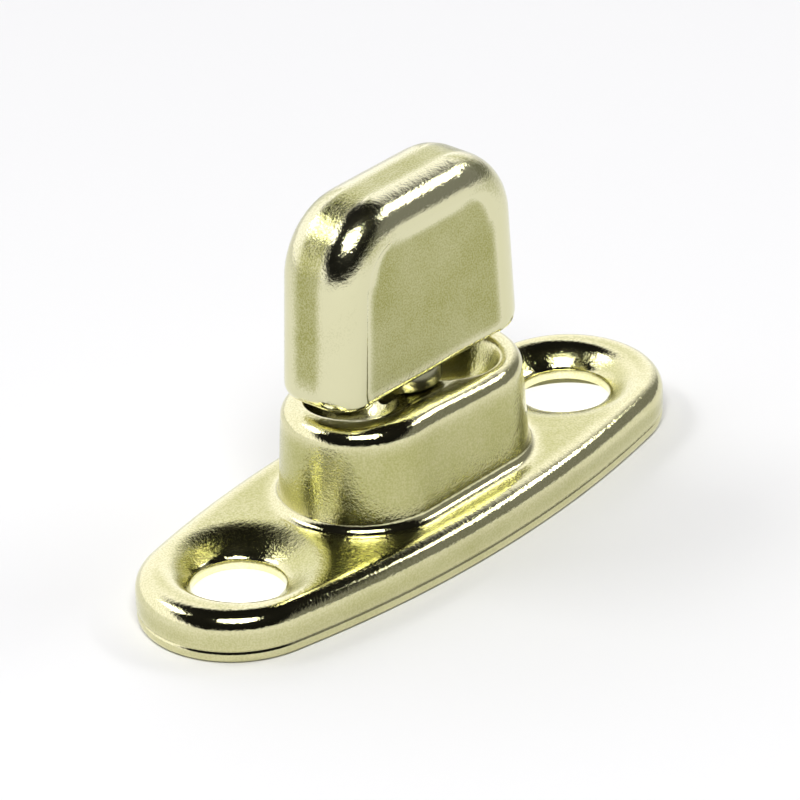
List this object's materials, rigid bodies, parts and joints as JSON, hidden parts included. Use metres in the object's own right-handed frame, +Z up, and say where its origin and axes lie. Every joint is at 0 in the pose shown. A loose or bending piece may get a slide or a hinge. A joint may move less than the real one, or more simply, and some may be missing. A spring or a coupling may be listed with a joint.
{
  "type": "turn-button fastener",
  "caption": "Double-height turn-button fastener for canvas: spring-held button on an oval turret, with a pressed oval base plate that takes two screws.",
  "frame": {"origin": "centre of the base plate's underside, on the stem's axis", "axes": "+X along the base plate through both screw holes, +Z up the stem, away from the surface it is screwed to; at rest the button lies along +X"},
  "size_m": [0.033, 0.012, 0.0179],
  "materials": {
    "plated_brass": "satin pale yellow-nickel plating with a fine grain, polished on the tight bends",
    "cast_core": "dull as-cast metal",
    "stem_steel": "turned, lightly plated",
    "spring_steel": "bright drawn wire and strip"
  },
  "bodies": {
    "base": {"base_plate": "plated_brass", "friction_washer": "spring_steel"},
    "spring_seat": {"spring_washer": "spring_steel", "coil_spring": "spring_steel"},
    "button": {"stem": "stem_steel", "button_core": "cast_core", "button_shell": "plated_brass"}
  },
  "joints": [
    {"name": "button_lift", "type": "slide", "parent": "base", "child": "spring_seat", "axis": [0, 0, 1], "range_m": [0, 0.0008], "stiffness_N_per_m": 4200, "springref_m": -0.0012, "deforming": ["coil_spring"]},
    {"name": "button_turn", "type": "hinge", "parent": "spring_seat", "child": "button", "pos_m": [0, 0, 0.0015], "axis": [0, 0, 1], "continuous": true}
  ]
}
